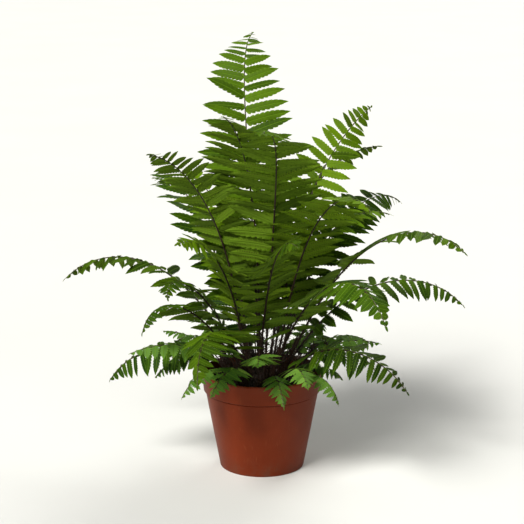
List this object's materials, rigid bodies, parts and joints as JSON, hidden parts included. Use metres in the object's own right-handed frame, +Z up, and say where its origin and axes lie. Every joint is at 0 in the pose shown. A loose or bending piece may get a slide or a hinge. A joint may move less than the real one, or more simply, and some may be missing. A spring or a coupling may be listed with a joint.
{
  "type": "potted fern",
  "caption": "Leafy fern with arching, feather-cut fronds growing from dark soil in a round tapered plastic nursery pot with a banded rim and drainage holes.",
  "frame": {"origin": "middle of the underside of the pot, where it stands", "axes": "+Z up out of the pot, -Y towards the front"},
  "size_m": [0.4137, 0.4059, 0.4203],
  "materials": {
    "pot": "satin terracotta-coloured moulded plastic",
    "soil": "matte, crumbly dark peat",
    "frond": "satin green leaf",
    "young_frond": "satin lighter green leaf"
  },
  "bodies": {
    "root": {"frond_01": "frond", "frond_02": "frond", "frond_03": "frond", "frond_04": "frond", "frond_05": "frond", "frond_06": "frond", "frond_07": "frond", "frond_08": "frond", "frond_09": "frond", "frond_10": "frond", "frond_11": "frond", "frond_12": "frond", "frond_13": "frond", "frond_14": "frond", "frond_15": "frond", "frond_16": "frond", "frond_17": "frond", "frond_18": "frond", "frond_19": "frond", "frond_20": "frond", "frond_21": "frond", "frond_22": "frond", "frond_23": "frond", "frond_24": "frond", "frond_25": "frond", "frond_26": "frond", "pot": "pot", "potting_soil": "soil", "young_frond_01": "young_frond", "young_frond_02": "young_frond", "young_frond_03": "young_frond", "young_frond_04": "young_frond", "young_frond_05": "young_frond", "young_frond_06": "young_frond", "young_frond_07": "young_frond", "young_frond_08": "young_frond", "young_frond_09": "young_frond", "young_frond_10": "young_frond", "young_frond_11": "young_frond", "young_frond_12": "young_frond", "young_frond_13": "young_frond", "young_frond_14": "young_frond", "young_frond_15": "young_frond", "young_frond_16": "young_frond", "young_frond_17": "young_frond", "young_frond_18": "young_frond", "young_frond_19": "young_frond", "young_frond_20": "young_frond", "young_frond_21": "young_frond", "young_frond_22": "young_frond", "young_frond_23": "young_frond", "young_frond_24": "young_frond", "young_frond_25": "young_frond", "young_frond_26": "young_frond", "young_frond_27": "young_frond"}
  },
  "joints": []
}
